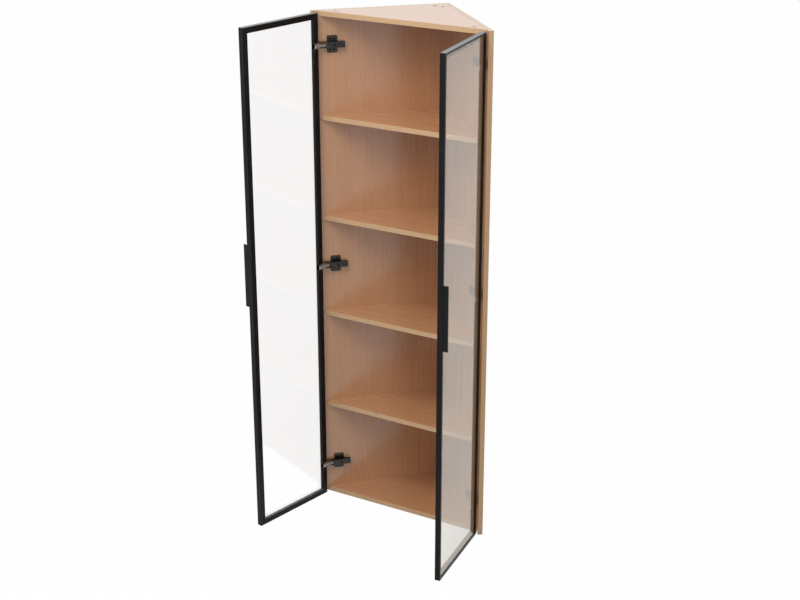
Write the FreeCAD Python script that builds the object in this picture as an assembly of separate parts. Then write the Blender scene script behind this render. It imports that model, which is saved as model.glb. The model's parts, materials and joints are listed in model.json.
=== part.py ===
import FreeCAD, Part
import math
import os

# Corner bookcase with two framed glass doors, millimetres.
# X runs along the front, Y runs back into the corner, Z is up.  The plan is a
# triangle with its right angle at the back, and the doors stand open.  Everything
# is drawn with y = 0 at the outer front corners; save() then carries it to the
# finished frame, whose origin is on the floor under the middle of the base.

# ---- cabinet ----
WIDTH = 720.0                # across the outer front corners
HEIGHT = 1900.0
BOARD = 18.0                 # every board
EDGING = 0.8                 # plastic edge strip glued on the cut edges
DECK_SETBACK = 5.0           # front edge of the top and bottom panels behind the origin
SHELF_SETBACK = 6.5          # front edge of the shelves
SHELF_COUNT = 4
TOP_SHELF_Z = 1506.0         # underside of the highest shelf
SHELF_PITCH = 378.0
SPARE = 1.0                  # how far a cutter runs past the face it cuts

# ---- fittings in the boards ----
JOINT_ALONG = (82.0, 444.0)  # cam joints, measured along a side panel from its front arris
CAM_INSET = 24.0             # cam centre from the side panel's face
CAM_R = 7.5
CAM_DEPTH = 12.5
CAM_SLOT = 8.0               # cross recess of a cam: length, width and depth
CAM_SLOT_WIDTH = 1.2
CAM_SLOT_DEPTH = 1.2
BOLT_R = 3.0
BOLT_IN_SIDE = 10.0
DOWEL_R = 4.0
DOWEL_IN_SIDE = 11.0
DOWEL_IN_DECK = 19.0
DOWEL_FROM_CAM = 32.0
PIN_R = 2.5
PIN_IN_SIDE = 9.0
PIN_OUT = 8.0
PIN_ALONG = (96.0, 400.0)
SCREW_R = 2.5
SCREW_HEAD_R = 4.5
SCREW_HEAD_LENGTH = 4.0
SCREW_LENGTH = 50.0
CORNER_SCREW_Z = (60.0, 505.0, 950.0, 1395.0, 1840.0)

# ---- doors ----
DOOR_WIDTH = 356.0
DOOR_GAP = 3.0               # between the closed doors
DOOR_BOTTOM = 3.0
DOOR_TOP = 1897.0
DOOR_STANDOFF = 2.0          # closed inside face in front of the side panel's arris
DOOR_DEPTH = 20.0
FRAME_FACE = 21.0            # inside face of a profile
CHAMBER_DEPTH = 12.6
WALL = 1.4
LIP_FACE = 8.0               # outside face of a profile
LIP_T = 2.4
REBATE_FACE = 4.5
GLASS_T = 4.0
GLASS_INSET = 5.2            # edge of the pane from the outer edge of the frame
GASKET_T = 0.5
INNER_SEAL = 14.0            # widths of the seals behind and in front of the pane
OUTER_SEAL = 2.4
BRACKET_LEG = 45.0
BRACKET_GAP = 0.15           # between a corner bracket and its chamber
RIGHT_OPEN = 96.0            # degrees the right door stands open
LEFT_OPEN = 102.0

# ---- door pulls ----
PULL_Z = 1009.0
PULL_LENGTH = 236.0
PULL_REACH = 18.0            # beyond the outside face
PULL_T = 2.0
PULL_LIP = 5.0
PULL_INSET = 1.0             # from the free edge
PULL_SCREW_INSET = 18.0      # from the ends of the pull
PULL_SCREW_R = 1.8           # head
PULL_SHANK_R = 1.0
PULL_SCREW_IN = 2.0          # depth in the frame
PULL_SINK = 1.0

# ---- concealed hinges ----
HINGE_Z = (126.0, 953.0, 1780.0)
ARM_PIVOT = (324.8, -3.6)        # plan, right-hand side: outer link on the arm
DOOR_PIVOT = (344.8, -18.9)      # plan, doors closed: outer link on the door cup
LINK_TURN = -0.53                # outer link's turn per turn of the door
TAIL_ALONG = 58.8                # inner link's pin in the arm, from the arris
TAIL_OFF = 9.0                   # and off the side panel
INNER_S = 14.0                   # inner link on the cup, from the hinge edge of the door
INNER_N = 0.0
PIVOT_R = 1.25
PIVOT_CLEAR = 0.05
RIVET_HEAD = 0.7                 # height, and how far it spreads past the pin
RIVET_SPREAD = 1.1
TAIL_HOLE_R = 2.9                # the linkage's open pivot: the hole is larger than its pin
INNER_HALF = 5.0                 # half thickness of the inner link
INNER_BAR_HALF = 2.2             # half width of its bar
INNER_EYE_R = 2.8
TAIL_EYE_R = 4.7
EAR_Z = (5.2, 6.6)               # inner ears of the cup
LINK_Z = (7.2, 9.2)              # outer link plates
CHEEK_Z = (9.4, 10.9)            # cheeks of the cup and of the arm
LINK_SAG = 8.0                   # how far the outer link bows away from its chord
LINK_HALF = 1.75
EYE_R = 3.0
PLATE_ALONG = (53.0, 92.0)
PLATE_HALF = 31.0
PLATE_T = 2.0
PLATE_CORNER_R = 5.0
PLATE_SCREW_Z = 19.0
PLATE_SCREW_INSET = 12.0         # from the plate's long edges
PLATE_SCREW_R = 1.75
PLATE_SCREW_HEAD_R = 3.6
PLATE_SCREW_IN = 14.0            # depth in the side panel
RIDGE_ALONG = (69.0, 90.0)
RIDGE_GAP = 0.4                  # between the ridge and a cheek of the arm
WEB_OFF = (17.6, 19.1)           # underside and outside of the arm's web, off the side panel
ARM_TAIL = 116.0
ARM_TAIL_OFF = 6.0
ARM_NOSE_R = 4.6
ARM_WEB_ALONG = 50.0             # front end of the web
ARM_FOOT_ALONG = (49.0, 96.0)    # level lower edge of the cheeks
ARM_FOOT_OFF = 3.0
ARM_RECESS_ALONG = (97.0, 106.0) # pressed recess in the arm's tail
ARM_RECESS_HALF = 2.1
ARM_RECESS = 0.9
CLAMP_SCREW_R = 1.95             # screw that clamps the arm on the ridge
CLAMP_HEAD_R = 3.8
CLAMP_HEAD = 1.8
CLAMP_HOLE_R = 2.0
CLAMP_OFF = (4.0, 5.0)           # bottom of its hole, and its tip
CROSS_LENGTH = 3.6               # cross recess of a screw head
CROSS_WIDTH = 0.7
CROSS_DEPTH = 0.8
POCKET_S = 4.0                   # hinge pocket in the stile, from the hinge edge
POCKET_DEPTH = 10.8
POCKET_HALF = 12.4
CUP_S = (4.4, 19.8)              # cup's cheeks, from the hinge edge
CUP_BASE_N = 10.6                # bottom of the cup
CUP_SHEET = 1.2                  # its metal
EAR_HALF = 2.6
WING_HALF = 24.9                 # tips of the wings
WING_CORNER_R = 3.0
WING_SCREW_Z = 19.4
WING_SCREW_R = 1.3
WING_SCREW_HEAD_R = 2.6
WING_SCREW_LENGTH = 7.0
RELIEF_N = (1.6, 4.4)            # relief of the stile's corner, at its edge and at the pocket

ROOT_HALF = math.sqrt(0.5)
ARRIS_X = WIDTH / 2 - BOARD * ROOT_HALF      # inner front arris of a side panel
ARRIS_Y = -BOARD * ROOT_HALF
INNER_SUM = ARRIS_X + ARRIS_Y                # x + y on the right panel's inner face
SIDE = WIDTH * ROOT_HALF                     # outer length of a side panel
CLOSED_X = DOOR_GAP / 2 + DOOR_WIDTH         # hinge edge of the closed right door
CLOSED_Y = ARRIS_Y - DOOR_STANDOFF           # its inside face
PIVOT_S = CLOSED_X - DOOR_PIVOT[0]
PIVOT_N = CLOSED_Y - DOOR_PIVOT[1]
FRONT_N = DOOR_DEPTH
DOOR_HEIGHT = DOOR_TOP - DOOR_BOTTOM
GLASS_N = CHAMBER_DEPTH + GASKET_T
BASE_MIDDLE_Y = WIDTH / 6                    # centroid of the triangular base
SHELF_Z = [TOP_SHELF_Z - i * SHELF_PITCH for i in range(SHELF_COUNT)]


# ---------------------------------------------------------------- helpers
def vec(x, y, z=0.0):
    return FreeCAD.Vector(x, y, z)


def box(x0, x1, y0, y1, z0, z1):
    return Part.makeBox(x1 - x0, y1 - y0, z1 - z0, vec(x0, y0, z0))


def rod(x, y, z, radius, length, direction):
    return Part.makeCylinder(radius, length, vec(x, y, z), direction)


def post(x, y, z0, z1, radius):
    return rod(x, y, z0, radius, z1 - z0, vec(0, 0, 1))


def prism(points, z0, z1):
    corners = [vec(x, y, z0) for x, y in points]
    face = Part.Face(Part.makePolygon(corners + corners[:1]))
    return face.extrude(vec(0, 0, z1 - z0))


def both_sides(shapes):
    """Each shape and its mirror image in the hinge's mid plane, z = 0."""
    return shapes + [s.mirror(vec(0, 0, 0), vec(0, 0, 1)) for s in shapes]


def moved(shape, x, y, angle, z=0.0):
    """A copy turned about the Z axis through the origin, then carried to x, y, z."""
    turned = shape.copy()
    turned.rotate(vec(0, 0, 0), vec(0, 0, 1), angle)
    turned.translate(vec(x, y, z))
    return turned


def sided(shapes, side):
    """Right-hand shapes as they are, or mirrored in X for the left-hand side."""
    if side > 0:
        return shapes
    return [s.mirror(vec(0, 0, 0), vec(1, 0, 0)) for s in shapes]


def save(name, shapes):
    parts = shapes if isinstance(shapes, list) else [shapes]
    shape = parts[0] if len(parts) == 1 else Part.makeCompound(parts)
    shape = shape.translated(vec(0, -BASE_MIDDLE_Y, 0))
    shape.exportStep("parts/" + name + ".step")


# ---------------------------------------------------------------- places
def on_side(shape):
    """From (along the right side panel, off its inner face, z) to the cabinet frame."""
    return moved(shape, ARRIS_X, ARRIS_Y, 135.0)


def turned_point(point, centre, degrees):
    angle = math.radians(degrees)
    dx = point[0] - centre[0]
    dy = point[1] - centre[1]
    return (centre[0] + dx * math.cos(angle) - dy * math.sin(angle),
            centre[1] + dx * math.sin(angle) + dy * math.cos(angle))


def door_pivot(opening):
    return turned_point(DOOR_PIVOT, ARM_PIVOT, LINK_TURN * opening)


def on_door(shape, opening):
    """From (along the door, out from its inside face, z) to the cabinet frame."""
    shape = moved(shape, -PIVOT_S, -PIVOT_N, 0.0)
    x, y = door_pivot(opening)
    return moved(shape, x, y, 180.0 + opening)


def door_point(s, n, opening):
    x, y = door_pivot(opening)
    return turned_point((x + s - PIVOT_S, y + n - PIVOT_N), (x, y), 180.0 + opening)


# ---------------------------------------------------------------- boards
def across(along, z, radius, back, front):
    """A round bar square to a side panel's face, from `back` to `front` off that face."""
    return rod(along, back, z, radius, front - back, vec(0, 1, 0))


def deck_levels():
    return (BOARD / 2, HEIGHT - BOARD / 2)


def bolts():
    return [across(a, z, BOLT_R, -BOLT_IN_SIDE, CAM_INSET - CAM_R)
            for z in deck_levels() for a in JOINT_ALONG]


def dowels():
    return [across(a + step, z, DOWEL_R, -DOWEL_IN_SIDE, DOWEL_IN_DECK)
            for z in deck_levels()
            for a, step in zip(JOINT_ALONG, (DOWEL_FROM_CAM, -DOWEL_FROM_CAM))]


def shelf_pins():
    return [across(a, z - PIN_R, PIN_R, -PIN_IN_SIDE, PIN_OUT)
            for z in SHELF_Z for a in PIN_ALONG]


def cam_base(z):
    """Lowest point of the cams in the deck at height z."""
    return 0.0 if z < HEIGHT / 2 else HEIGHT - CAM_DEPTH


def cams(level):
    """Cam locks of one deck, let into its outer face."""
    base = cam_base(level)
    slot_z = -SPARE if level < HEIGHT / 2 else HEIGHT - CAM_SLOT_DEPTH
    half = CAM_SLOT / 2
    edge = CAM_SLOT_WIDTH / 2
    locks = []
    for along in JOINT_ALONG:
        lock = post(along, CAM_INSET, base, base + CAM_DEPTH, CAM_R)
        for angle in (0.0, 90.0):
            slot = box(-half, half, -edge, edge, slot_z, slot_z + CAM_SLOT_DEPTH + SPARE)
            lock = lock.cut(moved(slot, along, CAM_INSET, angle))
        locks.append(lock)
    return locks


def both_panels(shapes):
    """Side-panel shapes placed on the right panel, and their mirror images."""
    right = [on_side(s) for s in shapes]
    return right + sided(right, -1)


def side_panel(side):
    """Board with a square-cut front edge; the left one laps the end of the right one."""
    length = SIDE if side < 0 else SIDE - BOARD
    board = box(EDGING, length, -BOARD, 0.0, 0.0, HEIGHT)
    for hole in bolts() + dowels() + shelf_pins() + plate_screws():
        board = board.cut(hole)
    board = sided([on_side(board)], side)[0]
    for screw in corner_screws():
        board = board.cut(screw)
    return board


def side_edging(side):
    return sided([on_side(box(0.0, EDGING, -BOARD, 0.0, 0.0, HEIGHT))], side)[0]


def triangle(front):
    """Plan of a board whose front edge is at y = front, between the side panels."""
    half = INNER_SUM - front
    return [(-half, front), (half, front), (0.0, INNER_SUM)]


def strip_plan(front):
    half = INNER_SUM - front
    inner = half - EDGING
    back = front + EDGING
    return [(-half, front), (half, front), (inner, back), (-inner, back)]


def deck(z):
    """Top or bottom panel, bored for its cams, bolts and dowels."""
    board = prism(triangle(DECK_SETBACK + EDGING), z, z + BOARD)
    level = z + BOARD / 2
    near = [s for s in bolts() + dowels() if abs(s.CenterOfMass.z - level) < 1.0]
    base = cam_base(z)
    cups = [post(a, CAM_INSET, base, base + CAM_DEPTH, CAM_R) for a in JOINT_ALONG]
    for piece in both_panels(near + cups):
        board = board.cut(piece)
    return board


def shelf(z):
    return prism(triangle(SHELF_SETBACK + EDGING), z, z + BOARD)


def corner_screws():
    """Connecting screws that hold the two side panels square at the back corner."""
    screws = []
    direction = vec(ROOT_HALF, -ROOT_HALF, 0)
    mid = BOARD / 2
    for z in CORNER_SCREW_Z:
        start = vec(-mid * ROOT_HALF, WIDTH / 2 - mid * ROOT_HALF, z)
        shank = Part.makeCylinder(SCREW_R, SCREW_LENGTH, start, direction)
        head = Part.makeCylinder(SCREW_HEAD_R, SCREW_HEAD_LENGTH, start, direction)
        screws.append(shank.fuse(head))
    return screws


# ---------------------------------------------------------------- hinges, fixed half
def mounting_plate():
    """Winged plate screwed to the side panel, with the ridge that carries the arm."""
    a0, a1 = PLATE_ALONG
    plate = box(a0, a1, 0.0, PLATE_T, -PLATE_HALF, PLATE_HALF)
    corners = [e for e in plate.Edges if abs(e.tangentAt(e.FirstParameter).y) > 0.9]
    plate = plate.makeFillet(PLATE_CORNER_R, corners)
    r0, r1 = RIDGE_ALONG
    half = CHEEK_Z[0] - RIDGE_GAP
    plate = plate.fuse(box(r0, r1, PLATE_T / 2, WEB_OFF[0], -half, half))
    for screw in plate_screws_local():
        plate = plate.cut(screw)
    plate = plate.cut(across(ridge_mid(), 0.0, CLAMP_HOLE_R, CLAMP_OFF[0], WEB_OFF[0] + SPARE))
    return plate.removeSplitter()


def ridge_mid():
    return sum(RIDGE_ALONG) / 2


def plate_screws_local():
    """Countersunk screws, two in each wing."""
    screws = []
    for along in (PLATE_ALONG[0] + PLATE_SCREW_INSET, PLATE_ALONG[1] - PLATE_SCREW_INSET):
        for z in (-PLATE_SCREW_Z, PLATE_SCREW_Z):
            shank = across(along, z, PLATE_SCREW_R, -PLATE_SCREW_IN, 0.0)
            start = vec(along, 0.0, z)
            head = Part.makeCone(PLATE_SCREW_R, PLATE_SCREW_HEAD_R, PLATE_T, start, vec(0, 1, 0))
            screws.append(shank.fuse(head))
    return screws


def plate_screws():
    return [s.translated(vec(0, 0, z)) for z in HINGE_Z for s in plate_screws_local()]


def cross_slot(screw, along, off, z):
    """Cut a cross recess into a screw head that faces off the side panel."""
    half = CROSS_LENGTH / 2
    edge = CROSS_WIDTH / 2
    for angle in (0.0, 90.0):
        blade = box(-half, half, -CROSS_DEPTH, CROSS_DEPTH, -edge, edge)
        blade.rotate(vec(0, 0, 0), vec(0, 1, 0), angle)
        blade.translate(vec(along, off, z))
        screw = screw.cut(blade)
    return screw


def hinge_arm():
    """Folded arm: two cheeks joined by a web over the mounting plate's ridge."""
    x, y = arm_pivot_local()
    slope = math.degrees(math.atan2(WEB_OFF[1] - y - ARM_NOSE_R, ARM_WEB_ALONG - x))
    outline = [nose_point(120.0), nose_point(90.0 + slope),
               (ARM_WEB_ALONG, WEB_OFF[1]), (ARM_TAIL, WEB_OFF[1]), (ARM_TAIL, ARM_TAIL_OFF),
               (ARM_FOOT_ALONG[1], ARM_FOOT_OFF), (ARM_FOOT_ALONG[0], ARM_FOOT_OFF),
               nose_point(-64.0), nose_point(-116.0)]
    cheek = prism(outline, CHEEK_Z[0], CHEEK_Z[1])
    cheek = cheek.fuse(post(x, y, CHEEK_Z[0], CHEEK_Z[1], ARM_NOSE_R))
    for hole_x, hole_y in ((x, y), (TAIL_ALONG, TAIL_OFF)):
        cheek = cheek.cut(post(hole_x, hole_y, 0.0, CHEEK_Z[1] + SPARE, PIVOT_R))
    web = box(ARM_WEB_ALONG, ARM_TAIL, WEB_OFF[0], WEB_OFF[1], -CHEEK_Z[1], CHEEK_Z[1])
    arm = web.fuse(both_sides([cheek]))
    high = WEB_OFF[1] + SPARE
    arm = arm.cut(across(ridge_mid(), 0.0, CLAMP_HOLE_R, WEB_OFF[0] - SPARE, high))
    recess = box(ARM_RECESS_ALONG[0], ARM_RECESS_ALONG[1], WEB_OFF[1] - ARM_RECESS, high,
                 -ARM_RECESS_HALF, ARM_RECESS_HALF)
    return arm.cut(recess).removeSplitter()


def nose_point(degrees):
    """A point on the round nose of the arm's cheek."""
    x, y = arm_pivot_local()
    angle = math.radians(degrees)
    return (x + ARM_NOSE_R * math.cos(angle), y + ARM_NOSE_R * math.sin(angle))


def arm_pivot_local():
    """The outer link's fixed pivot in (along, off) of the side panel."""
    dx = ARM_PIVOT[0] - ARRIS_X
    dy = ARM_PIVOT[1] - ARRIS_Y
    return ((dy - dx) * ROOT_HALF, -(dx + dy) * ROOT_HALF)


def arm_screw():
    """Clamp screw through the arm's web into the plate's ridge."""
    top = WEB_OFF[1] + CLAMP_HEAD
    shank = across(ridge_mid(), 0.0, CLAMP_SCREW_R, CLAMP_OFF[1], WEB_OFF[1])
    head = across(ridge_mid(), 0.0, CLAMP_HEAD_R, WEB_OFF[1], top)
    return cross_slot(shank.fuse(head), ridge_mid(), top, 0.0)


def stub_rivet(x, y):
    """Headed stub that carries one outer link plate on a cheek."""
    return plain_stub(x, y).fuse(rivet_head(x, y))


def plain_stub(x, y):
    return post(x, y, LINK_Z[0], CHEEK_Z[1], PIVOT_R)


def rivet_head(x, y):
    return post(x, y, CHEEK_Z[1], CHEEK_Z[1] + RIVET_HEAD, PIVOT_R + RIVET_SPREAD)


def arm_rivets():
    pivot = arm_pivot_local()
    tail = post(TAIL_ALONG, TAIL_OFF, -CHEEK_Z[1], CHEEK_Z[1], PIVOT_R)
    heads = both_sides([rivet_head(TAIL_ALONG, TAIL_OFF)])
    return both_sides([stub_rivet(pivot[0], pivot[1])]) + [tail.fuse(heads)]


# ---------------------------------------------------------------- hinges, links
def outer_link_plate():
    """Bowed plate in its own frame: arm pivot at the origin, door pivot on +X."""
    span = math.dist(ARM_PIVOT, DOOR_PIVOT)
    radius = (span * span / 4 + LINK_SAG * LINK_SAG) / (2 * LINK_SAG)
    middle = vec(span / 2, radius - LINK_SAG, LINK_Z[0])
    half_angle = math.degrees(math.asin(span / 2 / radius))
    depth = LINK_Z[1] - LINK_Z[0]
    wide = Part.makeCylinder(radius + LINK_HALF, depth, middle, vec(0, 0, 1), 2 * half_angle)
    narrow = Part.makeCylinder(radius - LINK_HALF, depth, middle, vec(0, 0, 1), 360)
    bow = wide.cut(narrow)
    bow.rotate(middle, vec(0, 0, 1), 270.0 - half_angle)
    for x in (0.0, span):
        bow = bow.fuse(post(x, 0.0, LINK_Z[0], LINK_Z[1], EYE_R))
    for x in (0.0, span):
        bow = bow.cut(post(x, 0.0, 0.0, LINK_Z[1] + SPARE, PIVOT_R + PIVOT_CLEAR))
    return bow.removeSplitter()


def outer_links(opening):
    x, y = door_pivot(opening)
    angle = math.degrees(math.atan2(y - ARM_PIVOT[1], x - ARM_PIVOT[0]))
    return [moved(p, ARM_PIVOT[0], ARM_PIVOT[1], angle) for p in both_sides([outer_link_plate()])]


def tail_pin():
    """Plan position of the inner link's pin in the arm."""
    return (ARRIS_X - (TAIL_ALONG + TAIL_OFF) * ROOT_HALF,
            ARRIS_Y + (TAIL_ALONG - TAIL_OFF) * ROOT_HALF)


def inner_link(opening):
    """Straight bar from the cup to its oversize hole around the pin in the arm."""
    x, y = door_point(INNER_S, INNER_N, opening)
    tail_x, tail_y = tail_pin()
    reach = math.hypot(tail_x - x, tail_y - y)
    bar = box(0.0, reach, -INNER_BAR_HALF, INNER_BAR_HALF, -INNER_HALF, INNER_HALF)
    for along, eye in ((0.0, INNER_EYE_R), (reach, TAIL_EYE_R)):
        bar = bar.fuse(post(along, 0.0, -INNER_HALF, INNER_HALF, eye))
    end = INNER_HALF + SPARE
    for along, hole in ((0.0, PIVOT_R + PIVOT_CLEAR), (reach, TAIL_HOLE_R)):
        bar = bar.cut(post(along, 0.0, -end, end, hole))
    angle = math.degrees(math.atan2(tail_y - y, tail_x - x))
    return moved(bar.removeSplitter(), x, y, angle)


# ---------------------------------------------------------------- hinges, door half
def hinge_cup():
    """Bracket in the stile's pocket: wings, outer cheeks and inner ears."""
    s0, s1 = CUP_S
    cheek = box(s0, s1, 0.0, CUP_BASE_N, CHEEK_Z[0], CHEEK_Z[1])
    wing = box(POCKET_S, s1, -CUP_SHEET, 0.0, CHEEK_Z[0], WING_HALF)
    corners = [e for e in wing.Edges if abs(e.tangentAt(e.FirstParameter).y) > 0.9]
    wing = wing.makeFillet(WING_CORNER_R, [e for e in corners if e.CenterOfMass.z > POCKET_HALF])
    wing = wing.cut(wing_screw())
    ear = box(INNER_S - EAR_HALF, INNER_S + EAR_HALF, -EAR_HALF, CUP_BASE_N, EAR_Z[0], EAR_Z[1])
    base = box(s0, s1, CUP_BASE_N - CUP_SHEET, CUP_BASE_N, -CHEEK_Z[1], CHEEK_Z[1])
    cup = base.fuse(both_sides([cheek.fuse(wing), ear]))
    for s, n, last in ((PIVOT_S, PIVOT_N, CHEEK_Z[1]), (INNER_S, INNER_N, EAR_Z[1])):
        cup = cup.cut(post(s, n, -last - SPARE, last + SPARE, PIVOT_R))
    return cup.removeSplitter()


def wing_screw():
    """Countersunk screw through one wing into the stile."""
    s = (POCKET_S + CUP_S[1]) / 2
    shank = rod(s, 0.0, WING_SCREW_Z, WING_SCREW_R, WING_SCREW_LENGTH, vec(0, 1, 0))
    start = vec(s, -CUP_SHEET, WING_SCREW_Z)
    head = Part.makeCone(WING_SCREW_HEAD_R, WING_SCREW_R, CUP_SHEET, start, vec(0, 1, 0))
    return shank.fuse(head)


def wing_screws():
    return both_sides([wing_screw()])


def cup_rivets():
    """Stubs of the outer link and the pin of the inner link."""
    pin = post(INNER_S, INNER_N, -EAR_Z[1], EAR_Z[1], PIVOT_R)
    return both_sides([plain_stub(PIVOT_S, PIVOT_N)]) + [pin]


# ---------------------------------------------------------------- door frame
def profile_face(origin, across_dir, out_dir):
    """Section of the aluminium profile, drawn from the frame's outer edge inwards."""
    def point(face, depth):
        return origin + across_dir * face + out_dir * depth
    outer = [(0, 0), (FRAME_FACE, 0), (FRAME_FACE, CHAMBER_DEPTH), (REBATE_FACE, CHAMBER_DEPTH),
             (REBATE_FACE, FRONT_N - LIP_T), (LIP_FACE, FRONT_N - LIP_T), (LIP_FACE, FRONT_N),
             (0, FRONT_N)]
    chamber = [(WALL, WALL), (FRAME_FACE - WALL, WALL), (FRAME_FACE - WALL, CHAMBER_DEPTH - WALL),
               (WALL, CHAMBER_DEPTH - WALL)]
    wires = []
    for points in (outer, chamber):
        corners = [point(*p) for p in points]
        wires.append(Part.makePolygon(corners + corners[:1]))
    return Part.Face(wires[0]).cut(Part.Face(wires[1]))


def mitre(corners):
    """Wedge that cuts the end of a member at 45 degrees."""
    outline = Part.makePolygon(corners + corners[:1])
    return Part.Face(outline).extrude(vec(0, DOOR_DEPTH + 2 * SPARE, 0))


def stile(free):
    """Upright member; the free one is drilled for the pull, the other pocketed for the hinges."""
    bar = profile_face(vec(0, 0, DOOR_BOTTOM), vec(1, 0, 0), vec(0, 1, 0)).extrude(vec(0, 0, DOOR_HEIGHT))
    reach = FRAME_FACE + SPARE
    for z, sign in ((DOOR_BOTTOM, 1.0), (DOOR_TOP, -1.0)):
        tip = z + sign * reach
        bar = bar.cut(mitre([vec(0, -SPARE, z), vec(reach, -SPARE, z), vec(reach, -SPARE, tip)]))
    if free:
        bar = bar.mirror(vec(DOOR_WIDTH / 2, 0, 0), vec(1, 0, 0))
        for screw in pull_screws():
            bar = bar.cut(screw)
        return bar
    for z in HINGE_Z:
        low = z - POCKET_HALF
        high = z + POCKET_HALF
        pocket = box(POCKET_S, FRAME_FACE + SPARE, -SPARE, POCKET_DEPTH, low, high)
        relief = prism([(-SPARE, -SPARE), (POCKET_S, -SPARE), (POCKET_S, RELIEF_N[1]),
                        (-SPARE, RELIEF_N[0])], low, high)
        bar = bar.cut(pocket.fuse(relief))
        for screw in wing_screws():
            bar = bar.cut(screw.translated(vec(0, 0, z)))
    return bar


def rail(top):
    """Level member, mitred into the stiles."""
    bar = profile_face(vec(0, 0, 0), vec(0, 0, 1), vec(0, 1, 0)).extrude(vec(DOOR_WIDTH, 0, 0))
    reach = FRAME_FACE + SPARE
    for s, sign in ((0.0, 1.0), (DOOR_WIDTH, -1.0)):
        tip = s + sign * reach
        bar = bar.cut(mitre([vec(s, -SPARE, 0), vec(s, -SPARE, reach), vec(tip, -SPARE, reach)]))
    if top:
        bar = bar.mirror(vec(0, 0, 0), vec(0, 0, 1))
        return bar.translated(vec(0, 0, DOOR_TOP))
    return bar.translated(vec(0, 0, DOOR_BOTTOM))


def corner_bracket():
    """Cast angle that fills the chambers at one mitre, at the lower hinge corner."""
    inset = WALL + BRACKET_GAP
    wide = FRAME_FACE - inset
    deep = CHAMBER_DEPTH - inset
    foot = box(inset, BRACKET_LEG, inset, deep, inset, wide)
    return foot.fuse(box(inset, wide, inset, deep, inset, BRACKET_LEG)).removeSplitter()


def corner_brackets():
    low = corner_bracket().translated(vec(0, 0, DOOR_BOTTOM))
    pair = [low, low.mirror(vec(DOOR_WIDTH / 2, 0, 0), vec(1, 0, 0))]
    middle = vec(0, 0, (DOOR_BOTTOM + DOOR_TOP) / 2)
    return pair + [b.mirror(middle, vec(0, 0, 1)) for b in pair]


def pane():
    e = GLASS_INSET
    return box(e, DOOR_WIDTH - e, GLASS_N, GLASS_N + GLASS_T, DOOR_BOTTOM + e, DOOR_TOP - e)


def gaskets():
    """Thin seals in front of and behind the pane's margin."""
    e = GLASS_INSET
    seals = []
    for n, width in ((CHAMBER_DEPTH, INNER_SEAL), (GLASS_N + GLASS_T, OUTER_SEAL)):
        outer = box(e, DOOR_WIDTH - e, n, n + GASKET_T, DOOR_BOTTOM + e, DOOR_TOP - e)
        i = e + width
        hole = box(i, DOOR_WIDTH - i, n - SPARE, n + GASKET_T + SPARE, DOOR_BOTTOM + i, DOOR_TOP - i)
        seals.append(outer.cut(hole))
    return seals


# ---------------------------------------------------------------- door pulls
def pull():
    """Folded edge pull: a leaf on the frame, an upstand and a returned lip."""
    edge = DOOR_WIDTH - PULL_INSET
    low = PULL_Z - PULL_LENGTH / 2
    high = PULL_Z + PULL_LENGTH / 2
    face = FRONT_N
    tip = face + PULL_REACH
    leaf = box(edge - LIP_FACE + PULL_INSET, edge, face, face + PULL_T, low, high)
    upstand = box(edge - PULL_T, edge, face, tip, low, high)
    lip = box(edge - PULL_LIP, edge, tip - PULL_T, tip, low, high)
    body = leaf.fuse([upstand, lip]).removeSplitter()
    for screw in pull_screws():
        body = body.cut(screw)
    return body


def pull_screws():
    """Countersunk screws through the leaf into the lip of the frame."""
    s = DOOR_WIDTH - LIP_FACE / 2 - PULL_INSET
    screws = []
    reach = PULL_LENGTH / 2 - PULL_SCREW_INSET
    start = FRONT_N - PULL_SCREW_IN
    for z in (PULL_Z - reach, PULL_Z + reach):
        shank = rod(s, start, z, PULL_SHANK_R, PULL_SCREW_IN + PULL_T, vec(0, 1, 0))
        sink = vec(s, FRONT_N + PULL_T - PULL_SINK, z)
        head = Part.makeCone(PULL_SHANK_R, PULL_SCREW_R, PULL_SINK, sink, vec(0, 1, 0))
        screws.append(shank.fuse(head))
    return screws


# ---------------------------------------------------------------- assembly
def at_hinges(shapes):
    return [s.translated(vec(0, 0, z)) for z in HINGE_Z for s in shapes]


def save_cabinet():
    save("left_side_panel", side_panel(-1))
    save("right_side_panel", side_panel(1))
    save("side_panel_edging", [side_edging(-1), side_edging(1)])
    save("bottom_panel", deck(0.0))
    save("top_panel", deck(HEIGHT - BOARD))
    save("deck_edging", [prism(strip_plan(DECK_SETBACK), z, z + BOARD) for z in (0.0, HEIGHT - BOARD)])
    for i, z in enumerate(SHELF_Z):
        save("shelf_%d" % (i + 1), shelf(z))
    save("shelf_edging", [prism(strip_plan(SHELF_SETBACK), z, z + BOARD) for z in SHELF_Z])
    save("top_cam_locks", both_panels(cams(HEIGHT)))
    save("bottom_cam_locks", both_panels(cams(0.0)))
    save("cam_bolts", both_panels(bolts()))
    save("wooden_dowels", both_panels(dowels()))
    save("shelf_pins", both_panels(shelf_pins()))
    save("corner_screws", corner_screws())


def save_hinges(name, side, opening):
    fixed = (("hinge_mounting_plates", [mounting_plate()]),
             ("mounting_plate_screws", [cross_slot_all(s) for s in plate_screws_local()]),
             ("hinge_arms", [hinge_arm()]),
             ("hinge_arm_screws", [arm_screw()]),
             ("hinge_arm_rivets", arm_rivets()))
    for part, shapes in fixed:
        save(name + "_" + part, sided([on_side(s) for s in at_hinges(shapes)], side))
    save(name + "_outer_hinge_links", sided(at_hinges(outer_links(opening)), side))
    save(name + "_inner_hinge_links", sided(at_hinges([inner_link(opening)]), side))
    doors = (("hinge_cups", [hinge_cup()]),
             ("hinge_cup_screws", wing_screws()),
             ("hinge_cup_rivets", cup_rivets()))
    for part, shapes in doors:
        save(name + "_" + part, sided([on_door(s, opening) for s in at_hinges(shapes)], side))


def cross_slot_all(screw):
    middle = screw.BoundBox.Center
    return cross_slot(screw, middle.x, PLATE_T, middle.z)


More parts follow.
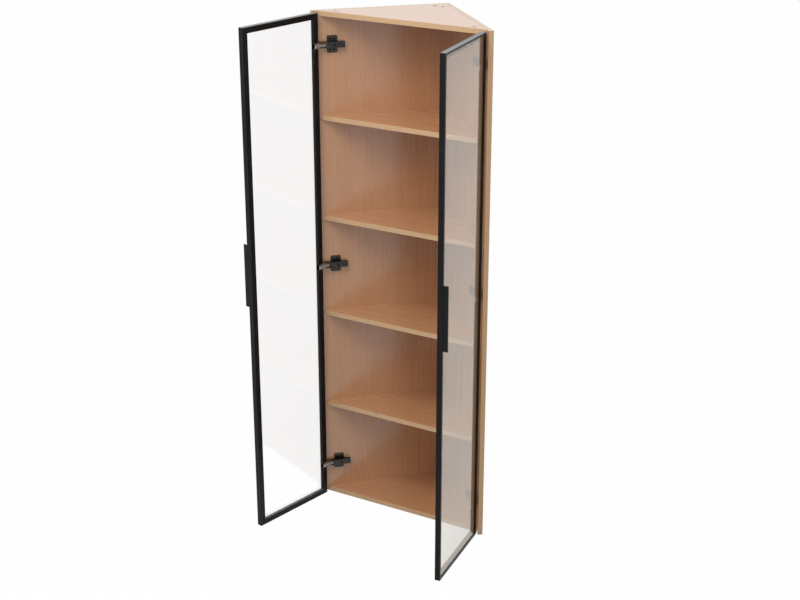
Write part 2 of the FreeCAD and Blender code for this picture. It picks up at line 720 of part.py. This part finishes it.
def save_door(name, side, opening):
    parts = (("door_hinge_stile", [stile(False)]),
             ("door_free_stile", [stile(True)]),
             ("door_top_rail", [rail(True)]),
             ("door_bottom_rail", [rail(False)]),
             ("door_corner_brackets", corner_brackets()),
             ("door_glass", [pane()]),
             ("door_glass_seals", gaskets()),
             ("door_pull", [pull()]),
             ("door_pull_screws", pull_screws()))
    for part, shapes in parts:
        save(name + "_" + part, sided([on_door(s, opening) for s in shapes], side))


os.makedirs("parts", exist_ok=True)
save_cabinet()
for name, side, opening in (("right", 1, RIGHT_OPEN), ("left", -1, LEFT_OPEN)):
    save_hinges(name, side, opening)
    save_door(name, side, opening)
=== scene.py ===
import bmesh
import bpy
import json
import math
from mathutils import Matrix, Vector

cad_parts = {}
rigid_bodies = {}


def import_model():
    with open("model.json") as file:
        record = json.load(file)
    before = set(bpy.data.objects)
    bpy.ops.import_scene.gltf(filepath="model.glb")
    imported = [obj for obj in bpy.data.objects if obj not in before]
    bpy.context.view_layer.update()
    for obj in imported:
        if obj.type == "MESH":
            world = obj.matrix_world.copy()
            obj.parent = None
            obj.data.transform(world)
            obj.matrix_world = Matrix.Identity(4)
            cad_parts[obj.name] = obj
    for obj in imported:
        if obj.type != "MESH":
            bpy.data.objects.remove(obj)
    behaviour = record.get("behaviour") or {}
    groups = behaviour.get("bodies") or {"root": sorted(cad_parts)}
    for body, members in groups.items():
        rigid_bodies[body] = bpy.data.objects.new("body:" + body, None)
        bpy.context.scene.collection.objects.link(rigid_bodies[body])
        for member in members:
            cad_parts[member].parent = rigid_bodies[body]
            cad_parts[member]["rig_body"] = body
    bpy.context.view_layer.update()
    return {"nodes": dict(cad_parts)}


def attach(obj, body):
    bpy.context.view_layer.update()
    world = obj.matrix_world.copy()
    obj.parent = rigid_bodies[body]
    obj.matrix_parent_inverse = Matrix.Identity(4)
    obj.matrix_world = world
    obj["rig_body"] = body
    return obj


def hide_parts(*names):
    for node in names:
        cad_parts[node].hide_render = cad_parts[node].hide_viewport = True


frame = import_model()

# ---------------------------------------------------------------- camera and room
# A standing camera to the right of the cabinet, a little above its top, looks down on it.
# The room is a plain white sweep under white sky, with three broad soft lamps in front: one
# high, one nearer and lower, and a weak one above the top.
EYE = (2.5484, -4.5691, 2.9158)
TURN = 0.5196      # radians to the left of straight ahead
TILT = 0.3787      # radians below level
LENS = 68.04       # mm on a 36 mm sensor
LAMPS = (("high_lamp", (0.2, -1.2, 4.4), 15.0), ("front_lamp", (0.3, -3.0, 5.0), 52.0),
         ("near_lamp", (0.2, -2.2, 3.6), 24.0))  # name, place, W
LAMP_AT = (0.0, 0.0, 0.9)
LAMP_SIZE = 2.2      # m across
SKY_LEVEL = 0.58     # light that the sky gives the object; it looks plain white itself
FLOOR_SIZE = 80.0    # m
FLOOR_BOUNCE = 0.25  # how much of the light the paper hands back to the object
FLOOR_LIFT = 0.97    # share of the floor's look that is plain white, so its shadow stays pale
FLOOR_DROP = 0.001   # m, the gap that keeps the floor's face clear of the cabinet's underside
PAPER_GREY = 0.88    # the paper's own tone, from here
PAPER_WHITE = 0.92   # to here
PAPER_PULP = 400.0   # specks to the metre

view = bpy.data.objects.new("camera", bpy.data.cameras.new("camera"))
bpy.context.scene.collection.objects.link(view)
view.location = EYE
view.rotation_euler = (math.pi / 2 - TILT, 0.0, TURN)
view.data.sensor_width = 36.0
view.data.lens = LENS
view.data.clip_end = 200.0
bpy.context.scene.camera = view
bpy.context.scene.view_settings.view_transform = "Standard"


def linear(code):
    """A colour written as sRGB hex, as the linear values a shader takes."""
    parts = [int(code[i:i + 2], 16) / 255 for i in (1, 3, 5)]
    return [p / 12.92 if p <= 0.04045 else ((p + 0.055) / 1.055) ** 2.4 for p in parts] + [1.0]


def add(tree, kind, settings=None, inputs=None):
    """Adds a node, sets its properties, and sets its inputs or links them to sockets."""
    made = tree.nodes.new(kind)
    for name, value in (settings or {}).items():
        setattr(made, name, value)
    for key, value in (inputs or {}).items():
        if isinstance(value, bpy.types.NodeSocket):
            tree.links.new(value, made.inputs[key])
        else:
            made.inputs[key].default_value = value
    return made


def empty_tree(owner):
    owner.use_nodes = True
    owner.node_tree.nodes.clear()
    return owner.node_tree


def seen_directly(tree):
    """1 for camera, mirror and see-through rays, 0 for the light that falls on things."""
    path = add(tree, "ShaderNodeLightPath")
    pair = add(tree, "ShaderNodeMath", {"operation": "MAXIMUM"},
               {0: path.outputs["Is Camera Ray"], 1: path.outputs["Is Glossy Ray"]})
    return add(tree, "ShaderNodeMath", {"operation": "MAXIMUM"},
               {0: pair.outputs[0], 1: path.outputs["Is Transmission Ray"]}).outputs[0]


sky = bpy.data.worlds.new("white_sky")
bpy.context.scene.world = sky
tree = empty_tree(sky)
level = add(tree, "ShaderNodeMapRange", {},
            {"Value": seen_directly(tree), "To Min": SKY_LEVEL, "To Max": 1.0})
glow = add(tree, "ShaderNodeBackground", {}, {"Color": linear("#ffffff"), "Strength": level.outputs[0]})
add(tree, "ShaderNodeOutputWorld", {}, {"Surface": glow.outputs[0]})

sweep = bpy.data.materials.new("white_paper_sweep")
tree = empty_tree(sweep)
place = add(tree, "ShaderNodeTexCoord")
pulp = add(tree, "ShaderNodeTexNoise", {}, {"Vector": place.outputs["Object"], "Scale": PAPER_PULP})
shade = add(tree, "ShaderNodeMapRange", {},
            {"Value": pulp.outputs["Fac"], "To Min": PAPER_GREY, "To Max": PAPER_WHITE})
bounce = add(tree, "ShaderNodeMapRange", {},
             {"Value": seen_directly(tree), "To Min": FLOOR_BOUNCE, "To Max": shade.outputs[0]})
paper = add(tree, "ShaderNodeBsdfDiffuse", {}, {"Color": bounce.outputs[0]})
white = add(tree, "ShaderNodeEmission", {}, {"Color": linear("#ffffff"), "Strength": 1.0})
lift = add(tree, "ShaderNodeMath", {"operation": "MULTIPLY"}, {0: seen_directly(tree), 1: FLOOR_LIFT})
both = add(tree, "ShaderNodeMixShader", {}, {0: lift.outputs[0], 1: paper.outputs[0], 2: white.outputs[0]})
add(tree, "ShaderNodeOutputMaterial", {}, {"Surface": both.outputs[0]})

floor_mesh = bpy.data.meshes.new("floor")
half = FLOOR_SIZE / 2
corners = [(-half, -half, 0), (half, -half, 0), (half, half, 0), (-half, half, 0)]
floor_mesh.from_pydata(corners, [], [(0, 1, 2, 3)])
floor = bpy.data.objects.new("floor", floor_mesh)
floor.location.z = -FLOOR_DROP
floor_mesh.materials.append(sweep)
bpy.context.scene.collection.objects.link(floor)

for name, place, power in LAMPS:
    lamp = bpy.data.objects.new(name, bpy.data.lights.new(name, "AREA"))
    lamp.data.shape = "DISK"
    lamp.data.size = LAMP_SIZE
    lamp.data.energy = power
    lamp.location = place
    lamp.rotation_euler = (Vector(LAMP_AT) - Vector(place)).to_track_quat("-Z", "Y").to_euler()
    bpy.context.scene.collection.objects.link(lamp)

# ---------------------------------------------------------------- boards
# Two side panels, a top, a bottom and four shelves of 18 mm chipboard, faced with beech-print
# melamine foil.  The print's grain stands upright on the side panels and runs along the front
# on the level boards; the cut ends that no strip covers show the bare chips.
BEECH_LIGHT = linear("#c79468")
BEECH_MIDDLE = linear("#c28e65")
BEECH_DARK = linear("#bd8a61")
CHIP_PALE = linear("#d4b48c")
CHIP_DARK = linear("#b08e66")
CLOUD = 0.045         # m, broad bands of the print across the grain
CLOUD_LONG = 1.1      # m, and along it
STREAK = 0.0045       # m, year-ring lines; the real ones are 2 mm, too fine to show
STREAK_LONG = 0.26
FLECK = 0.0016        # m, the short brown flecks of beech
FLECK_LONG = 0.016
CHIP = 0.004          # m, chips of the board's core


def stretched(tree, place, grain, across, along):
    """The object's own coordinates, counted in grain widths across and lengths along."""
    scale = [1 / across] * 3
    scale["XYZ".index(grain)] = 1 / along
    return add(tree, "ShaderNodeMapping", {}, {"Vector": place, "Scale": scale}).outputs[0]


def faced_board(name, grain, face):
    """Beech-print melamine on both faces; bare chipboard where a cut end shows."""
    made = bpy.data.materials.new(name)
    tree = empty_tree(made)
    place = add(tree, "ShaderNodeTexCoord").outputs["Object"]
    cloud = add(tree, "ShaderNodeTexNoise", {},
                {"Vector": stretched(tree, place, grain, CLOUD, CLOUD_LONG), "Scale": 1.0, "Detail": 3.0})
    streak = add(tree, "ShaderNodeTexNoise", {},
                 {"Vector": stretched(tree, place, grain, STREAK, STREAK_LONG), "Scale": 1.0, "Detail": 4.0,
                  "Roughness": 0.54})
    fleck = add(tree, "ShaderNodeTexNoise", {},
                {"Vector": stretched(tree, place, grain, FLECK, FLECK_LONG), "Scale": 1.0, "Detail": 1.0})
    tone = add(tree, "ShaderNodeMix", {"data_type": "FLOAT"},
               {"Factor": 0.5, "A": cloud.outputs["Fac"], "B": streak.outputs["Fac"]})
    print_ = add(tree, "ShaderNodeValToRGB", {}, {"Fac": tone.outputs[0]})
    print_.color_ramp.elements[0].position = 0.28
    print_.color_ramp.elements[0].color = BEECH_DARK
    print_.color_ramp.elements[1].position = 0.71
    print_.color_ramp.elements[1].color = BEECH_LIGHT
    print_.color_ramp.elements.new(0.48).color = BEECH_MIDDLE
    mark = add(tree, "ShaderNodeMapRange", {},
               {"Value": fleck.outputs["Fac"], "From Min": 0.60, "From Max": 0.74, "To Max": 0.38})
    flecked = add(tree, "ShaderNodeMix", {"data_type": "RGBA"},
                  {"Factor": mark.outputs[0], 6: print_.outputs["Color"], 7: BEECH_DARK})
    chips = add(tree, "ShaderNodeTexVoronoi", {}, {"Vector": place, "Scale": 1 / CHIP})
    chip = add(tree, "ShaderNodeSeparateColor", {}, {"Color": chips.outputs["Color"]})
    core = add(tree, "ShaderNodeMix", {"data_type": "RGBA"},
               {"Factor": chip.outputs[0], 6: CHIP_PALE, 7: CHIP_DARK})
    normal = add(tree, "ShaderNodeNewGeometry").outputs["True Normal"]
    facing = add(tree, "ShaderNodeVectorMath", {"operation": "DOT_PRODUCT"}, {0: normal, 1: face})
    square = add(tree, "ShaderNodeMath", {"operation": "ABSOLUTE"}, {0: facing.outputs["Value"]})
    foil = add(tree, "ShaderNodeMath", {"operation": "GREATER_THAN"}, {0: square.outputs[0], 1: 0.9})
    colour = add(tree, "ShaderNodeMix", {"data_type": "RGBA"},
                 {"Factor": foil.outputs[0], 6: core.outputs[2], 7: flecked.outputs[2]})
    gloss = add(tree, "ShaderNodeMapRange", {},
                {"Value": streak.outputs["Fac"], "To Min": 0.24, "To Max": 0.32})
    rough = add(tree, "ShaderNodeMix", {"data_type": "FLOAT"},
                {"Factor": foil.outputs[0], "A": 0.9, "B": gloss.outputs[0]})
    relief = add(tree, "ShaderNodeMix", {"data_type": "FLOAT"},
                 {"Factor": foil.outputs[0], "A": chip.outputs[0], "B": fleck.outputs["Fac"]})
    bump = add(tree, "ShaderNodeBump", {},
               {"Strength": 0.25, "Distance": 0.00008, "Height": relief.outputs[0]})
    foil_skin = add(tree, "ShaderNodeBsdfPrincipled", {},
                    {"Base Color": colour.outputs[2], "Roughness": rough.outputs[0], "IOR": 1.6,
                     "Normal": bump.outputs[0], "Coat Weight": 1.0, "Coat Roughness": 0.2})
    add(tree, "ShaderNodeOutputMaterial", {}, {"Surface": foil_skin.outputs[0]})
    return made


def finish_node(name, material):
    """Gives a CAD node its finish."""
    slots = frame["nodes"][name].material_slots
    for slot in slots:
        slot.material = material


ROOT_HALF = math.sqrt(0.5)
level_board = faced_board("beech_melamine_level", "X", (0.0, 0.0, 1.0))
finish_node("left_side_panel", faced_board("beech_melamine_left", "Z", (ROOT_HALF, -ROOT_HALF, 0.0)))
finish_node("right_side_panel", faced_board("beech_melamine_right", "Z", (ROOT_HALF, ROOT_HALF, 0.0)))
for name in ("top_panel", "bottom_panel", "shelf_1", "shelf_2", "shelf_3", "shelf_4"):
    finish_node(name, level_board)

# ---------------------------------------------------------------- edge strips
# Plastic strips in the same beech print, 0.8 mm thick, glued over the cut front edges and
# trimmed flush.  Their arrises are scraped to a small round that catches a thin light.
EDGE_LIGHT = linear("#dfba92")
EDGE_DARK = linear("#d4ad84")
ARRIS = 0.0006
FLAT = math.radians(1)     # faces that turn less than this are one flat face
SHARP = math.radians(30)   # edges that turn more than this are rounded


def eased(name, radius, material):
    """A copy of a plain solid with its sharp edges rounded, standing for the node."""
    source = frame["nodes"][name]
    work = bmesh.new()
    work.from_mesh(source.data)
    bmesh.ops.remove_doubles(work, verts=work.verts, dist=1e-6)
    bmesh.ops.dissolve_limit(work, angle_limit=FLAT, verts=work.verts, edges=work.edges)
    sharp = [e for e in work.edges if e.is_manifold and e.calc_face_angle(0.0) > SHARP]
    bmesh.ops.bevel(work, geom=sharp, offset=radius, segments=2, profile=0.5, affect="EDGES",
                    clamp_overlap=True)
    for face in work.faces:
        face.smooth = False
    mesh = bpy.data.meshes.new(name + "_eased")
    work.to_mesh(mesh)
    work.free()
    piece = bpy.data.objects.new(name + "_eased", mesh)
    bpy.context.scene.collection.objects.link(piece)
    mesh.materials.append(material)
    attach(piece, source["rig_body"])
    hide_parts(name)
    return piece


def edge_strip(name, grain):
    """Printed strip: paler and plainer than the boards, with a satin skin."""
    made = bpy.data.materials.new(name)
    tree = empty_tree(made)
    place = add(tree, "ShaderNodeTexCoord").outputs["Object"]
    streak = add(tree, "ShaderNodeTexNoise", {},
                 {"Vector": stretched(tree, place, grain, STREAK, STREAK_LONG), "Scale": 1.0, "Detail": 3.0})
    colour = add(tree, "ShaderNodeMix", {"data_type": "RGBA"},
                 {"Factor": streak.outputs["Fac"], 6: EDGE_DARK, 7: EDGE_LIGHT})
    rough = add(tree, "ShaderNodeMapRange", {},
                {"Value": streak.outputs["Fac"], "To Min": 0.38, "To Max": 0.5})
    bump = add(tree, "ShaderNodeBump", {},
               {"Strength": 0.2, "Distance": 0.0001, "Height": streak.outputs["Fac"]})
    skin = add(tree, "ShaderNodeBsdfPrincipled", {},
               {"Base Color": colour.outputs[2], "Roughness": rough.outputs[0], "IOR": 1.5,
                "Specular IOR Level": 0.3, "Normal": bump.outputs[0]})
    add(tree, "ShaderNodeOutputMaterial", {}, {"Surface": skin.outputs[0]})
    return made


level_strip = edge_strip("beech_strip_level", "X")
for name, material in (("side_panel_edging", edge_strip("beech_strip_upright", "Z")),
                       ("deck_edging", level_strip), ("shelf_edging", level_strip)):
    eased(name, ARRIS, material)

# ---------------------------------------------------------------- cams, bolts, pins, screws
# Cabinet fittings of zinc: cast cam locks let into the decks, turned bolts, shelf pins and
# the long screws of the back corner.  Bright when new, with a dull grey cast bloom.
ZINC = linear("#a9a8a6")
ZINC_DULL = linear("#7b7a78")
CAST_GRIT = 0.002      # m, the bloom of a cast or plated skin, coarser than real so that it shows


def bare_metal(name, light, dark, grit, smooth, coarse):
    """Cast or plated metal, clouded where hands and oil have dulled it."""
    made = bpy.data.materials.new(name)
    tree = empty_tree(made)
    place = add(tree, "ShaderNodeTexCoord").outputs["Object"]
    bloom = add(tree, "ShaderNodeTexNoise", {}, {"Vector": place, "Scale": 1 / grit, "Detail": 4.0})
    colour = add(tree, "ShaderNodeMix", {"data_type": "RGBA"},
                 {"Factor": bloom.outputs["Fac"], 6: dark, 7: light})
    rough = add(tree, "ShaderNodeMapRange", {},
                {"Value": bloom.outputs["Fac"], "To Min": coarse, "To Max": smooth})
    bump = add(tree, "ShaderNodeBump", {},
               {"Strength": 0.15, "Distance": 0.0001, "Height": bloom.outputs["Fac"]})
    metal = add(tree, "ShaderNodeBsdfPrincipled", {},
                {"Base Color": colour.outputs[2], "Metallic": 1.0, "Roughness": rough.outputs[0],
                 "Normal": bump.outputs[0]})
    add(tree, "ShaderNodeOutputMaterial", {}, {"Surface": metal.outputs[0]})
    return made


zinc = bare_metal("cast_zinc", ZINC, ZINC_DULL, CAST_GRIT, 0.3, 0.5)
for name in ("top_cam_locks", "bottom_cam_locks", "cam_bolts", "shelf_pins", "corner_screws"):
    finish_node(name, zinc)

# ---------------------------------------------------------------- dowels
# Fluted beech dowels, glued into both boards of every deck joint; only ends ever show.
DOWEL_PALE = linear("#dcc09a")
DOWEL_DARK = linear("#c19c70")

dowel_wood = bpy.data.materials.new("turned_beech")
tree = empty_tree(dowel_wood)
place = add(tree, "ShaderNodeTexCoord").outputs["Object"]
pore = add(tree, "ShaderNodeTexNoise", {}, {"Vector": place, "Scale": 1 / FLECK, "Detail": 3.0})
colour = add(tree, "ShaderNodeMix", {"data_type": "RGBA"},
             {"Factor": pore.outputs["Fac"], 6: DOWEL_DARK, 7: DOWEL_PALE})
rough = add(tree, "ShaderNodeMapRange", {}, {"Value": pore.outputs["Fac"], "To Min": 0.6, "To Max": 0.8})
wood = add(tree, "ShaderNodeBsdfPrincipled", {},
           {"Base Color": colour.outputs[2], "Roughness": rough.outputs[0]})
add(tree, "ShaderNodeOutputMaterial", {}, {"Surface": wood.outputs[0]})
finish_node("wooden_dowels", dowel_wood)

# ---------------------------------------------------------------- hinges
# Concealed hinges of pressed steel, plated black nickel: dark and faintly warm, with a soft
# sheen.  The links are a lighter bare plating, and the pins are polished steel.
NICKEL = linear("#514f4c")
NICKEL_DARK = linear("#262524")
LINK = linear("#c9c9cb")
LINK_DARK = linear("#a2a2a5")
PIN = linear("#b4b4b2")
PIN_DARK = linear("#8a8a88")
SCREW = linear("#222120")
SCREW_DARK = linear("#111010")
PLATE_GRIT = 0.0035    # m, handling marks on the plated faces
PIN_GRIT = 0.001       # m, turning marks on pins and screws

nickel = bare_metal("black_nickel_plate", NICKEL, NICKEL_DARK, PLATE_GRIT, 0.2, 0.38)
links = bare_metal("plated_link_steel", LINK, LINK_DARK, CAST_GRIT, 0.42, 0.58)
pins = bare_metal("polished_pin_steel", PIN, PIN_DARK, PIN_GRIT, 0.2, 0.35)
screws = bare_metal("blackened_screw_steel", SCREW, SCREW_DARK, PIN_GRIT, 0.35, 0.55)
for side in ("right_", "left_"):
    for name in ("hinge_mounting_plates", "hinge_arms", "hinge_cups"):
        finish_node(side + name, nickel)
    for name in ("outer_hinge_links", "inner_hinge_links"):
        finish_node(side + name, links)
    for name in ("hinge_arm_rivets", "hinge_cup_rivets"):
        finish_node(side + name, pins)
    for name in ("mounting_plate_screws", "hinge_arm_screws", "hinge_cup_screws", "door_pull_screws"):
        finish_node(side + name, screws)

# ---------------------------------------------------------------- door frames
# Extruded aluminium, mitred at the corners over cast brackets and anodised black: a deep
# even black with the faint lengthwise lines of the extrusion die.  It is dull seen square
# on and pale grey seen along it, and its upper faces are painted a paler grey: a painted
# reflection of the bright sky above.
BLACK = linear("#171717")
BLACK_WORN = linear("#212121")
DIE_LINE = 0.0008      # m, die lines; the real ones are finer than shows
DIE_LINE_LONG = 0.4    # m, along the extrusion
HAND_MARKS = 9.0       # to the metre, where hands have polished the skin
FRAME_ARRIS = 0.0004
FRAME_GLOSS = 0.45       # share mirrored at the lowest angle
FRAME_GLOSS_RISE = 7.0   # how late the gloss rises as the view nears the face
FRAME_SHEEN = linear("#eeeeee")
# painted reflection: the paler grey painted on upper faces for the sky they mirror
UPPER_FACE_PAINTED_GLOSS = linear("#6c6d6b")
PAINTED_GLOSS_SLOPE = 0.5       # the painted reflection starts where a face's upward part is more than this


def anodised(name, upright):
    """Black anodised aluminium, with its die lines upright or level."""
    made = bpy.data.materials.new(name)
    tree = empty_tree(made)
    place = add(tree, "ShaderNodeTexCoord").outputs["Object"]
    fine, long = 1 / DIE_LINE, 1 / DIE_LINE_LONG
    scale = [fine, fine, long] if upright else [long, long, fine]
    ways = add(tree, "ShaderNodeMapping", {}, {"Vector": place, "Scale": scale}).outputs[0]
    lines = add(tree, "ShaderNodeTexNoise", {}, {"Vector": ways, "Scale": 1.0, "Detail": 3.0})
    hands = add(tree, "ShaderNodeTexNoise", {}, {"Vector": place, "Scale": HAND_MARKS, "Detail": 3.0})
    colour = add(tree, "ShaderNodeMix", {"data_type": "RGBA"},
                 {"Factor": hands.outputs["Fac"], 6: BLACK, 7: BLACK_WORN})
    # Upper faces are painted a paler grey, a painted reflection of the sky above.
    surface = add(tree, "ShaderNodeNewGeometry").outputs["True Normal"]
    upward = add(tree, "ShaderNodeSeparateXYZ", {}, {0: surface}).outputs["Z"]
    painted_gloss_share = add(tree, "ShaderNodeMapRange", {},
                  {"Value": upward, "From Min": PAINTED_GLOSS_SLOPE, "From Max": 1.0})
    painted_gloss_colour = add(tree, "ShaderNodeMix", {"data_type": "RGBA"},
                {"Factor": painted_gloss_share.outputs[0], 6: colour.outputs[2], 7: UPPER_FACE_PAINTED_GLOSS})
    rough = add(tree, "ShaderNodeMapRange", {},
                {"Value": lines.outputs["Fac"], "To Min": 0.28, "To Max": 0.4})
    bump = add(tree, "ShaderNodeBump", {},
               {"Strength": 0.2, "Distance": 0.00005, "Height": lines.outputs["Fac"]})
    skin = add(tree, "ShaderNodeBsdfPrincipled", {},
               {"Base Color": painted_gloss_colour.outputs[2], "Roughness": rough.outputs[0], "IOR": 1.5,
                "Specular IOR Level": 0.12, "Normal": bump.outputs[0]})
    edge_on = add(tree, "ShaderNodeLayerWeight", {}, {"Blend": 0.5})
    rise = add(tree, "ShaderNodeMath", {"operation": "POWER"},
               {0: edge_on.outputs["Facing"], 1: FRAME_GLOSS_RISE})
    share = add(tree, "ShaderNodeMath", {"operation": "MULTIPLY"}, {0: rise.outputs[0], 1: FRAME_GLOSS})
    sheen = add(tree, "ShaderNodeBsdfGlossy", {}, {"Color": FRAME_SHEEN, "Roughness": 0.3})
    both = add(tree, "ShaderNodeMixShader", {},
               {0: share.outputs[0], 1: skin.outputs[0], 2: sheen.outputs[0]})
    add(tree, "ShaderNodeOutputMaterial", {}, {"Surface": both.outputs[0]})
    return made


upright_black = anodised("black_anodised_upright", True)
level_black = anodised("black_anodised_level", False)
bracket_metal = bare_metal("cast_bracket_aluminium", ZINC, ZINC_DULL, CAST_GRIT, 0.4, 0.6)
for side in ("right_door_", "left_door_"):
    for name, material in (("hinge_stile", upright_black), ("free_stile", upright_black),
                           ("top_rail", level_black), ("bottom_rail", level_black)):
        eased(side + name, FRAME_ARRIS, material)
    finish_node(side + "corner_brackets", bracket_metal)

# ---------------------------------------------------------------- glass and seals
# A pane of 4 mm clear float glass in each door, held in the frame's rebate between thin
# black rubber seals.  The glass is almost unseen head-on, and seen along it, it mirrors the
# room as a pale warm grey that half hides what is behind.
GLARE = linear("#b5ab9c")
GLARE_GAIN = 9.0       # share mirrored at the lowest angle, cut off at all of it
GLARE_RISE = 8.0       # how late the glare rises as the view nears the pane
SHADOW_TINT = linear("#fafcfb")
FILM = 5.0             # smears to the metre, left by wiping
RUBBER = linear("#141414")
RUBBER_DUSTY = linear("#1c1c1b")
RUBBER_GRIT = 900.0    # specks of dust to the metre

float_glass = bpy.data.materials.new("clear_float_glass")
tree = empty_tree(float_glass)
place = add(tree, "ShaderNodeTexCoord").outputs["Object"]
film = add(tree, "ShaderNodeTexNoise", {}, {"Vector": place, "Scale": FILM, "Detail": 2.0})
rough = add(tree, "ShaderNodeMapRange", {}, {"Value": film.outputs["Fac"], "To Min": 0.0, "To Max": 0.02})
pane = add(tree, "ShaderNodeBsdfPrincipled", {},
           {"Base Color": linear("#ffffff"), "Roughness": rough.outputs[0], "IOR": 1.5,
            "Transmission Weight": 1.0})
edge_on = add(tree, "ShaderNodeLayerWeight", {}, {"Blend": 0.5})
rise = add(tree, "ShaderNodeMath", {"operation": "POWER"}, {0: edge_on.outputs["Facing"], 1: GLARE_RISE})
share = add(tree, "ShaderNodeMath", {"operation": "MULTIPLY", "use_clamp": True},
            {0: rise.outputs[0], 1: GLARE_GAIN})
glare = add(tree, "ShaderNodeBsdfGlossy", {}, {"Color": GLARE, "Roughness": rough.outputs[0]})
both = add(tree, "ShaderNodeMixShader", {}, {0: share.outputs[0], 1: pane.outputs[0], 2: glare.outputs[0]})
open_ = add(tree, "ShaderNodeBsdfTransparent", {}, {"Color": SHADOW_TINT})
path = add(tree, "ShaderNodeLightPath")
let_light = add(tree, "ShaderNodeMixShader", {},
                {0: path.outputs["Is Shadow Ray"], 1: both.outputs[0], 2: open_.outputs[0]})
add(tree, "ShaderNodeOutputMaterial", {}, {"Surface": let_light.outputs[0]})

seal_rubber = bpy.data.materials.new("black_seal_rubber")
tree = empty_tree(seal_rubber)
place = add(tree, "ShaderNodeTexCoord").outputs["Object"]
dust = add(tree, "ShaderNodeTexNoise", {}, {"Vector": place, "Scale": RUBBER_GRIT, "Detail": 2.0})
colour = add(tree, "ShaderNodeMix", {"data_type": "RGBA"},
             {"Factor": dust.outputs["Fac"], 6: RUBBER, 7: RUBBER_DUSTY})
rough = add(tree, "ShaderNodeMapRange", {}, {"Value": dust.outputs["Fac"], "To Min": 0.6, "To Max": 0.85})
rubber = add(tree, "ShaderNodeBsdfPrincipled", {},
             {"Base Color": colour.outputs[2], "Roughness": rough.outputs[0]})
add(tree, "ShaderNodeOutputMaterial", {}, {"Surface": rubber.outputs[0]})
for side in ("right_", "left_"):
    finish_node(side + "door_glass", float_glass)
    finish_node(side + "door_glass_seals", seal_rubber)

# ---------------------------------------------------------------- pulls
# Edge pulls folded from 2 mm aluminium strip and finished black with the frames, each held
# by two small screws on the outside lip of the free stile.
PULL_ARRIS = 0.0004
for side in ("right_", "left_"):
    eased(side + "door_pull", PULL_ARRIS, upright_black)
